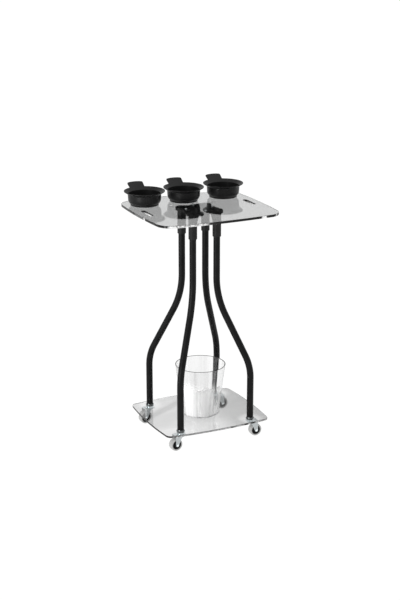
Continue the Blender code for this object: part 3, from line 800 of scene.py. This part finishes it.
FLANGE_TOP = bracket_high.z
FLANGE_BOTTOM = FLANGE_TOP - 0.010
SOCKET_BOTTOM = bracket_low.z
SOCKET_RADIUS = 0.0140
SOCKET_BORE_TOP = 0.746
FLANGE_LOBE = 0.0200
FLANGE_HOLLOW = 0.0060
LOBE_WRAP = math.radians(12)
RIB_HEIGHT = 0.026
RIB_DEPTH = 0.008
OVERLAP = 0.002  # how far joined shapes run into each other


def flange_outline():
    outline = []
    for turn, (side_x, side_y) in enumerate(((1, 1), (-1, 1), (-1, -1), (1, -1))):
        centre = (side_x * LEG_TOP_HALF, side_y * LEG_TOP_HALF)
        start = turn * math.pi / 2 - LOBE_WRAP
        end = (turn + 1) * math.pi / 2 + LOBE_WRAP
        outline += arc(centre, FLANGE_LOBE, start, end, 26)
        middle = (turn + 1) * math.pi / 2
        along = Vector((math.cos(middle), math.sin(middle)))
        across = Vector((-along.y, along.x))
        hollow = along * (LEG_TOP_HALF + FLANGE_LOBE - FLANGE_HOLLOW)
        dip = [tuple(hollow + across * step) for step in (-0.012, 0.012)]
        outline += fillet([outline[-1], *dip, (0, 0)], [0, 0.006, 0.006, 0], False, 5)[1:-1]
    return outline


def bracket_mesh():
    outlines = [flange_outline()] + [circle(p, SCREW_HOLE_RADIUS, 20) for p in SCREW_PLACES]
    flange = plate("bracket_flange", outlines, FLANGE_BOTTOM, FLANGE_TOP, 0.0006)
    steps = []
    for side_x, side_y in CORNERS.values():
        place = Matrix.Translation((side_x * LEG_TOP_HALF, side_y * LEG_TOP_HALF, 0))
        profile = [
            (0, FLANGE_TOP - OVERLAP),
            (SOCKET_RADIUS, FLANGE_TOP - OVERLAP),
            (SOCKET_RADIUS, SOCKET_BOTTOM),
            (0, SOCKET_BOTTOM),
        ]
        socket = lathe("socket", fillet(profile, [0, 0, 0.0012, 0], False, 3), 56)
        socket.transform(place)
        steps.append(("UNION", socket))
        inward_x = math.pi if side_x > 0 else 0.0
        for turn in (inward_x, -side_y * math.pi / 2):
            outline = [
                (SOCKET_RADIUS - OVERLAP, FLANGE_BOTTOM - RIB_HEIGHT),
                (SOCKET_RADIUS, FLANGE_BOTTOM - RIB_HEIGHT),
                (SOCKET_RADIUS + RIB_DEPTH, FLANGE_BOTTOM + OVERLAP),
                (SOCKET_RADIUS - OVERLAP, FLANGE_BOTTOM + OVERLAP),
            ]
            rib = side_prism("rib", outline, 0.0030)
            rib.transform(place @ Matrix.Rotation(turn, 4, "Z"))
            steps.append(("UNION", rib))
        reach = TUBE_RADIUS + GAP
        section = [(0, SOCKET_BORE_TOP), (reach, SOCKET_BORE_TOP), (reach, 0.66), (0, 0.66)]
        bore = lathe("bore", section, 56)
        bore.transform(place)
        steps.append(("DIFFERENCE", bore))
    return combined("bracket_casting", flange, steps)


add("bracket_casting", bracket_mesh(), "frame", BRACKET_PLASTIC, ["leg_bracket"])


# ---------------------------------------------------------------- screws


def screw_mesh(low, high):
    """A pan-head screw with a cross recess."""
    seat = high - 0.0024
    profile = [(0, high), (0.0028, high - 0.0002), (0.0042, high - 0.0013), (0.0042, seat)]
    profile += [(0.0020, seat), (0.0020, low + 0.0010), (0.0012, low), (0, low)]
    radii = [0, 0.0030, 0.0008, 0.0002, 0, 0, 0, 0]
    body = lathe("screw_body", fillet(profile, radii, False, 5), 48)
    cuts = []
    for turn in (0.4, 0.4 + math.pi / 2):
        bar = [(-0.0021, -0.0004), (0.0021, -0.0004), (0.0021, 0.0004), (-0.0021, 0.0004)]
        cutter = prism("recess", fillet(bar, 0.0001), high - 0.0012, high + 0.001)
        cutter.transform(Matrix.Rotation(turn, 4, "Z"))
        cuts.append(("DIFFERENCE", cutter))
    return combined("pan_screw", body, cuts)


screw_low, screw_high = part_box("tray_screw_1")
pan_screw = screw_mesh(screw_low.z, screw_high.z)
for number, (x, y) in enumerate(SCREW_PLACES, 1):
    turn = Matrix.Rotation(number * 0.7, 4, "Z")
    node = f"tray_screw_{number}"
    add(f"pan_screw_{number}", pan_screw, "frame", SHADED_SCREW_ZINC, [node], (x, y, 0), turn)


# ---------------------------------------------------------------- feet and casters

collar_low, collar_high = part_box("foot_collar_front_left")
stem_low, stem_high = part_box("caster_front_left_stem")
COLLAR_TOP = collar_low.z + 0.0050
SPIGOT_RADIUS = 0.0087
WHEEL_RADIUS = 0.0205
TRAIL = 0.0190
FORK_INSIDE = 0.0112
FORK_SHEET = 0.0016
FORK_TOP = 0.0515
AXLE_RADIUS = 0.0030
HUB_RIBS = 8
HUB_RIB_TOP = 0.0070


def collar_mesh():
    bottom, radius = collar_low.z, 0.0138
    profile = [
        (0.0044, collar_high.z),
        (SPIGOT_RADIUS, collar_high.z),
        (SPIGOT_RADIUS, COLLAR_TOP),
        (0.0116, COLLAR_TOP),
        (0.0124, COLLAR_TOP - 0.0018),
        (radius, COLLAR_TOP - 0.0030),
        (radius, bottom),
        (0.0044, bottom),
    ]
    radii = [0.0003, 0.0006, 0, 0.0004, 0.0010, 0.0008, 0.0005, 0.0003]
    return lathe("collar_ring", fillet(profile, radii, True, 5), 72, 50)


def stem_mesh():
    """The fixed upper race, with its stem."""
    top, bottom = SHELF_BOTTOM - GAP, stem_low.z
    profile = [
        (0, stem_high.z),
        (0.0032, stem_high.z),
        (0.0040, stem_high.z - 0.0010),
        (0.0040, top),
        (0.0124, top),
        (0.0135, top - 0.0009),
        (0.0135, bottom + 0.0009),
        (0.0118, bottom),
        (0, bottom),
    ]
    radii = [0, 0, 0, 0, 0.0003, 0.0005, 0.0005, 0.0003, 0]
    return lathe("swivel_race", fillet(profile, radii, False), 72, 50)


def fork_mesh():
    """A pressed yoke: one folded sheet with two cheeks that narrow down to the axle."""
    outer, inner = FORK_INSIDE + FORK_SHEET, FORK_INSIDE
    under = FORK_TOP - 0.0022
    section = fillet(
        [(-outer, 0.01), (-inner, 0.01), (-inner, under), (inner, under)]
        + [(inner, 0.01), (outer, 0.01), (outer, FORK_TOP), (-outer, FORK_TOP)],
        [0, 0, 0.0012, 0.0012, 0, 0, 0.0028, 0.0028],
        True,
        6,
    )
    folded = prism("fork_sheet", section, -0.03, 0.05)
    # the section's first axis becomes Y and its second Z, and the extrusion runs along X
    folded.transform(Matrix(((0, 0, 1, 0), (1, 0, 0, 0), (0, 1, 0, 0), (0, 0, 0, 1))))
    side = [(-0.0120, FORK_TOP + 0.002), (-0.0120, FORK_TOP - 0.0034), (0.0020, FORK_TOP - 0.0064)]
    side += arc((TRAIL, WHEEL_RADIUS), 0.0052, math.radians(215), math.radians(365), 24)
    side += [(0.0245, FORK_TOP - 0.0120), (0.0245, FORK_TOP + 0.002)]
    radii = [0, 0.0020, 0.0080] + [0] * 25 + [0.0100, 0]
    cheeks = side_prism("fork_side", fillet(side, radii, True, 6), 0.02)
    crown = [(-0.02, -0.02), (0.0245, -0.02), (0.0245, 0.02), (-0.02, 0.02)]
    reach = AXLE_RADIUS + GAP
    hole = lathe("axle_hole", [(0, 0.03), (reach, 0.03), (reach, -0.03), (0, -0.03)], 32)
    across = Matrix.Rotation(math.pi / 2, 4, "X")
    hole.transform(Matrix.Translation((TRAIL, 0, WHEEL_RADIUS)) @ across)
    top = stem_low.z - GAP
    cup = [
        (0, top),
        (0.0119, top),
        (0.0125, top - 0.0007),
        (0.0125, FORK_TOP + 0.0005),
        (0.0117, FORK_TOP - 0.0008),
        (0, FORK_TOP - 0.0008),
    ]
    race = lathe("fork_race", fillet(cup, [0, 0.0003, 0.0003, 0.0003, 0, 0], False), 64)
    crown = fillet(crown, [0, 0.006, 0.006, 0], True, 6)
    end = prism("fork_end", crown, FORK_TOP - 0.05, FORK_TOP + 0.01)
    steps = [("INTERSECT", cheeks), ("INTERSECT", end), ("UNION", race), ("DIFFERENCE", hole)]
    return combined("fork_yoke", folded, steps, 0.00025)


def axle_mesh():
    """A bolt across the fork: a domed round head on one side and a flatter one on the other."""
    seat = FORK_INSIDE + FORK_SHEET + GAP
    head = seat + 0.0022
    profile = [(0, head), (0.0034, head), (0.0046, head - 0.0012), (0.0046, seat)]
    profile += [(AXLE_RADIUS, seat), (AXLE_RADIUS, -seat), (0.0046, -seat)]
    profile += [(0.0046, -head + 0.0008), (0.0038, -head), (0, -head)]
    radii = [0, 0.0020, 0.0005, 0.0001, 0, 0, 0.0001, 0.0003, 0.0003, 0]
    return lathe("axle_bolt", fillet(profile, radii, False, 4), 48)


def hub_mesh():
    """A moulded wheel centre: boss, dished web with ribs, and the ring that holds the tyre."""
    half = FORK_INSIDE - GAP
    upper = [
        (AXLE_RADIUS + GAP, half),
        (0.0058, half),
        (0.0062, 0.0070),
        (0.0068, 0.0052),
        (0.0090, 0.0050),
        (0.0112, 0.0052),
        (0.0124, 0.0068),
        (0.0128, 0.0092),
        (0.0147, 0.0092),
    ]
    radii = [0.0003, 0.0004, 0.0004, 0.0006, 0, 0.0006, 0.0006, 0.0003, 0.0003]
    upper = fillet(upper, radii, False, 3)
    section = upper + [(radius, -height) for radius, height in reversed(upper)]
    steps = 128
    rings = []
    for radius, height in section:
        ring = []
        for k in range(steps):
            angle = TAU * k / steps
            lift = 0.0
            if 0.0060 < radius < 0.0126 and abs(height) < HUB_RIB_TOP:
                off = abs((angle * HUB_RIBS / TAU + 0.5) % 1 - 0.5) * TAU / HUB_RIBS * radius
                share = min(1.0, max(0.0, (0.0011 - off) / 0.0005))
                lift = (HUB_RIB_TOP - abs(height)) * share * share * (3 - 2 * share)
            z = height + math.copysign(lift, height)
            ring.append((radius * math.cos(angle), radius * math.sin(angle), z))
        rings.append(ring)
    return rings_mesh("wheel_hub", rings, 40)


def tyre_mesh():
    seat = 0.0150
    upper = [
        (seat, 0.0086),
        (seat + 0.0008, 0.0100),
        (0.0172, 0.0102),
        (0.0192, 0.0100),
        (0.0202, 0.0086),
        (WHEEL_RADIUS, 0.0052),
        (WHEEL_RADIUS, 0.0004),
        (WHEEL_RADIUS - 0.0002, 0.0002),
    ]
    upper = fillet(upper, [0, 0.0006, 0.0010, 0.0010, 0.0020, 0.0030, 0, 0], False, 4)
    section = upper + [(radius, -height) for radius, height in reversed(upper)]
    return lathe("wheel_tyre", section, 112, 50)


def centre_of(node):
    low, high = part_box(node)
    return (low + high) / 2


collar_ring, swivel_race = collar_mesh(), stem_mesh()
fork_yoke, axle_bolt = fork_mesh(), axle_mesh()
wheel_hub, wheel_tyre = hub_mesh(), tyre_mesh()
for corner, (side_x, side_y) in CORNERS.items():
    foot = Vector((side_x * LEG_FOOT_HALF, side_y * LEG_FOOT_HALF, 0))
    hub_centre = centre_of(f"caster_{corner}_hub")
    trail = hub_centre - foot
    turn = Matrix.Rotation(math.atan2(trail.y, trail.x), 4, "Z")
    spin = turn @ Matrix.Rotation(math.pi / 2, 4, "X")
    at_wheel = (hub_centre.x, hub_centre.y, WHEEL_RADIUS)
    node = f"caster_{corner}_"
    collar = f"foot_collar_{corner}"
    swivel, wheel = f"swivel_{corner}", f"wheel_{corner}"
    add(f"collar_ring_{corner}", collar_ring, "frame", SHADED_COLLAR_ZINC, [collar], foot)
    add(f"swivel_race_{corner}", swivel_race, "frame", LIT_RACE_ZINC, [node + "stem"], foot)
    add(f"fork_yoke_{corner}", fork_yoke, swivel, FORK_ZINC, [node + "fork"], foot, turn)
    add(f"axle_bolt_{corner}", axle_bolt, swivel, LIT_RACE_ZINC, [node + "axle"], at_wheel, spin)
    add(f"wheel_hub_{corner}", wheel_hub, wheel, HUB_PLASTIC, [node + "hub"], at_wheel, spin)
    add(f"wheel_tyre_{corner}", wheel_tyre, wheel, RUBBER, [node + "tyre"], at_wheel, spin)


# ---------------------------------------------------------------- bowls

BOWL_RIM_RADIUS = 0.0668
BOWL_NECK_RADIUS = 0.0545
BOWL_NECK_HEIGHT = 0.0390
RIM_SLOPE = math.tan(math.radians(32.4))
BOWL_WALL = 0.0022
TAB_ROOT_HALF = 0.0262
TAB_TIP_HALF = 0.0274
TAB_REACH = 0.0863
TAB_CROWN = 0.0014
RIM_INSET = 0.0022  # width of the rim's rounded edge, seen from above


def bowl_outline():
    """The rim seen from above: a circle with the thumb tab standing out at +Y."""
    root = math.acos(TAB_ROOT_HALF / BOWL_RIM_RADIUS)
    rim = arc((0, 0), BOWL_RIM_RADIUS, math.pi - root, TAU + root, 110)
    tip_y = math.sqrt(TAB_REACH**2 - TAB_TIP_HALF**2)
    far = []
    for i in range(1, 12):
        x = TAB_TIP_HALF * (1 - i / 6)
        reach = TAB_REACH + TAB_CROWN * (1 - (x / TAB_TIP_HALF) ** 2)
        far.append((x, math.sqrt(reach**2 - x**2)))
    side = [(TAB_TIP_HALF * s, tip_y) for s in (1, -1)]
    outline = rim + [side[0]] + far + [side[1]]
    radii = [0.0] * len(outline)
    radii[0] = radii[len(rim) - 1] = 0.0016
    radii[len(rim)] = radii[-1] = 0.0051
    return fillet_long(outline, radii)


def fillet_long(outline, radii):
    """Rounds corners whose neighbouring points lie closer than the radius reaches."""
    count = len(outline)
    drop = set()
    arcs = {}
    for i, reach in enumerate(radii):
        if not reach:
            continue
        corner = Vector(outline[i])
        before, after = i, i
        while (Vector(outline[before % count]) - corner).length < reach:
            before -= 1
            drop.add(before % count)
        while (Vector(outline[after % count]) - corner).length < reach:
            after += 1
            drop.add(after % count)
        drop.discard(before % count)
        drop.discard(after % count)
        ends = [Vector(outline[before % count]), Vector(outline[after % count])]
        start = corner + (ends[0] - corner).normalized() * reach
        end = corner + (ends[1] - corner).normalized() * reach
        curve = []
        for k in range(9):
            t = k / 8
            curve.append(tuple(start * (1 - t) ** 2 + corner * 2 * t * (1 - t) + end * t * t))
        arcs[i] = curve
    result = []
    for i, point in enumerate(outline):
        if i in arcs:
            result += arcs[i]
        elif i not in drop:
            result.append(point)
    return result


def bowl_mesh():
    """One skin: body, flared rim and tab, on rays that leave the bowl's axis."""
    outline = bowl_outline()
    rays = [(math.hypot(x, y), math.atan2(y, x)) for x, y in outline]
    body_out = [
        (0.0545, 0.0360),
        (0.0544, 0.0320),
        (0.0541, 0.0260),
        (0.0539, 0.0220),
        (0.0535, 0.0170),
        (0.0529, 0.0142),
        (0.0519, 0.0116),
        (0.0505, 0.0094),
        (0.0488, 0.0075),
        (0.0474, 0.0060),
        (0.0466, 0.0050),
        (0.0463, 0.0042),
        (0.0463, 0.0010),
        (0.0459, 0.0003),
        (0.0452, 0.0),
        (0.0440, 0.0),
        (0.0434, 0.0008),
        (0.0420, 0.0012),
    ]
    body_in = [
        (0.0, 0.0012),
        (0.0, 0.0034),
        (0.0300, 0.0034),
        (0.0410, 0.0036),
        (0.0440, 0.0046),
        (0.0460, 0.0064),
        (0.0480, 0.0086),
        (0.0496, 0.0110),
        (0.0508, 0.0140),
        (0.0514, 0.0172),
        (0.0518, 0.0220),
        (0.0522, 0.0320),
        (0.0523, 0.0366),
    ]
    lip = 0.0008
    slope = math.hypot(1, RIM_SLOPE)
    normal = (-RIM_SLOPE / slope, 1 / slope)

    def cone(radius):
        return BOWL_NECK_HEIGHT + (radius - BOWL_NECK_RADIUS) * RIM_SLOPE

    def ring(radius, height):
        if radius < 1e-7:
            return [(0.0, 0.0, height)]
        return [(radius * math.cos(a), radius * math.sin(a), height) for _, a in rays]

    def cone_ring(radii, depth):
        """A ring on the rim's cone, at one radius for each ray, sunk below its face."""
        placed = zip(radii, (angle for _, angle in rays))
        return [(r * math.cos(a), r * math.sin(a), cone(r) - depth) for r, a in placed]

    def rim_ring(inset, depth):
        """A ring along the rim's own outline, inset from its edge."""
        return cone_ring([reach - inset for reach, _ in rays], depth)

    def spread_ring(share, start, depth):
        """A ring part of the way between a circle and the rim's outline."""
        return cone_ring([start + (reach - RIM_INSET - start) * share for reach, _ in rays], depth)

    thick = BOWL_WALL * slope
    near = lip * 0.3
    rings = [rim_ring(RIM_INSET, 0.0), rim_ring(lip, 0.0), rim_ring(near, near)]
    rings += [rim_ring(0.0, lip), rim_ring(0.0, thick - lip), rim_ring(near, thick - near)]
    rings.append(rim_ring(lip, thick))
    rings += [spread_ring(share, 0.0560, thick) for share in (1.0, 0.75, 0.5, 0.25, 0.0)]
    rings.append(ring(0.0550, cone(0.0550) - thick - 0.0006))
    rings.append(ring(0.0546, cone(0.0546) - thick - 0.0018))
    rings += [ring(r, z) for r, z in body_out + body_in]
    rings += [ring(0.0524, 0.0374), ring(0.0528, 0.0381)]
    rings += [spread_ring(share, 0.0536, 0.0) for share in (0.0, 0.2, 0.4, 0.6, 0.8)]
    return rings_mesh("mixing_bowl", rings, 40)


mixing_bowl = bowl_mesh()
for label in ("left", "middle", "right"):
    node = f"tint_bowl_{label}"
    low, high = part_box(node)
    radius = (high.x - low.x) / 2
    place = ((low.x + high.x) / 2, low.y + radius, low.z)
    add(f"mixing_bowl_{label}", mixing_bowl, node, BOWL_PLASTIC, [node], place)


# ---------------------------------------------------------------- bin


def bin_mesh(rim_radius, height):
    base, wall, floor = 0.0621, 0.0028, 0.0040
    lean = (rim_radius - base) / height
    profile = [
        (rim_radius, height),
        (base + lean * 0.003, 0.003),
        (base - 0.0010, 0),
        (base - 0.0050, 0),
        (base - 0.0060, 0.0008),
        (0, 0.0008),
        (0, floor),
        (base - wall - 0.001, floor),
        (rim_radius - wall, height),
    ]
    radii = [0.0003, 0.0020, 0.0008, 0.0004, 0.0004, 0, 0, 0.0020, 0.0003]
    return lathe("bin_tub", fillet(profile, radii, True, 5), 144, 50)


bin_radius = (bin_high.x - bin_low.x) / 2
bin_place = ((bin_low.x + bin_high.x) / 2, (bin_low.y + bin_high.y) / 2, bin_low.z)
bin_tub = bin_mesh(bin_radius, bin_high.z - bin_low.z)
add("bin_tub", bin_tub, "waste_bin", BIN_ACRYLIC, ["waste_bin"], bin_place)


# ---------------------------------------------------------------- floor, light and camera

CAMERA_PLACE = Vector((-1.7873, -3.7822, 1.7810))
CAMERA_AIM = Vector((0.0030, 0.0, 0.4568))
FRAME_HEIGHT = 600
FOCAL_PIXELS = 1332.2
SENSOR = 36.0
FLOOR_HALF = 60.0
FLOOR_DROP = 0.0005
# soft patches of the studio walls: azimuth and elevation, reach (all in degrees) and brightness
WALL_PATCHES = ((68.5, 23.0, 6.0, 1.05), (61.5, 21.5, 4.5, 0.15))


def make_floor():
    mesh = bpy.data.meshes.new("studio_floor")
    verts = [(x * FLOOR_HALF, y * FLOOR_HALF, 0) for x, y in ((-1, -1), (1, -1), (1, 1), (-1, 1))]
    mesh.from_pydata(verts, [], [[0, 1, 2, 3]])
    made, nodes = new_material("studio_floor_paint")
    nodes.surface(
        {
            "Base Color": nodes.ramp(nodes.noise(3, 4), [(0.3, grey(0.02)), (0.7, grey(0.03))]),
            "Roughness": 0.9,
            "Specular IOR Level": 0.1,
            "Emission Color": grey(1.0),
            "Emission Strength": 1.0,
        }
    )
    mesh.materials.append(made)
    floor = bpy.data.objects.new("studio_floor", mesh)
    bpy.context.scene.collection.objects.link(floor)
    floor.location = (0, 0, -FLOOR_DROP)
    floor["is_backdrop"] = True


def make_world():
    """A pale studio: white at floor level, soft grey walls and one dim gap between two panels."""
    world = bpy.data.worlds.new("studio")
    bpy.context.scene.world = world
    world.use_nodes = True
    nodes = Nodes(world.node_tree)
    where = nodes.add("ShaderNodeTexCoord").outputs["Generated"]
    stops = [(0.0, grey(1.0)), (0.07, grey(1.0)), (0.16, grey(0.88)), (0.50, grey(0.82))]
    tone = nodes.ramp(nodes.parts(where)[2], stops + [(1.0, grey(0.58))])
    for azimuth, elevation, reach, level in WALL_PATCHES:
        turn, rise = math.radians(azimuth), math.radians(elevation)
        flat = math.cos(rise)
        aim = (flat * math.cos(turn), flat * math.sin(turn), math.sin(rise))
        off = nodes.vector("DISTANCE", where, aim)["Value"]
        share = nodes.ease(off, math.radians(reach), 0.0)
        tone = nodes.mix(share, tone, grey(level))
    sky = nodes.add("ShaderNodeBackground", {"Color": tone})
    nodes.add("ShaderNodeOutputWorld", {"Surface": sky.outputs[0]})


def area_light(name, place, aim, size, power):
    lamp = bpy.data.lights.new(name, "AREA")
    lamp.shape = "RECTANGLE"
    lamp.size, lamp.size_y = size
    lamp.energy = power
    obj = bpy.data.objects.new(name, lamp)
    bpy.context.scene.collection.objects.link(obj)
    obj.location = place
    obj.rotation_euler = (Vector(aim) - Vector(place)).to_track_quat("-Z", "Y").to_euler()


def make_camera():
    data = bpy.data.cameras.new("view")
    data.sensor_width = SENSOR
    data.lens = FOCAL_PIXELS * SENSOR / FRAME_HEIGHT
    data.clip_end = 200.0
    camera = bpy.data.objects.new("view", data)
    bpy.context.scene.collection.objects.link(camera)
    camera.location = CAMERA_PLACE
    camera.rotation_euler = (CAMERA_AIM - CAMERA_PLACE).to_track_quat("-Z", "Y").to_euler()
    bpy.context.scene.camera = camera


make_floor()
make_world()
area_light("overhead_softbox", (0.4, 0.5, 3.0), (0, 0, 0.4), (2.0, 2.0), 10)
area_light("left_softbox", (-2.3, -1.06, 0.8), (0, 0, 0.45), (0.55, 1.5), 36)
area_light("right_strip", (2.3, -0.2, 1.0), (0, 0, 0.5), (0.4, 1.6), 3)
make_camera()
bpy.context.scene.view_settings.view_transform = "Standard"

low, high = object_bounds()
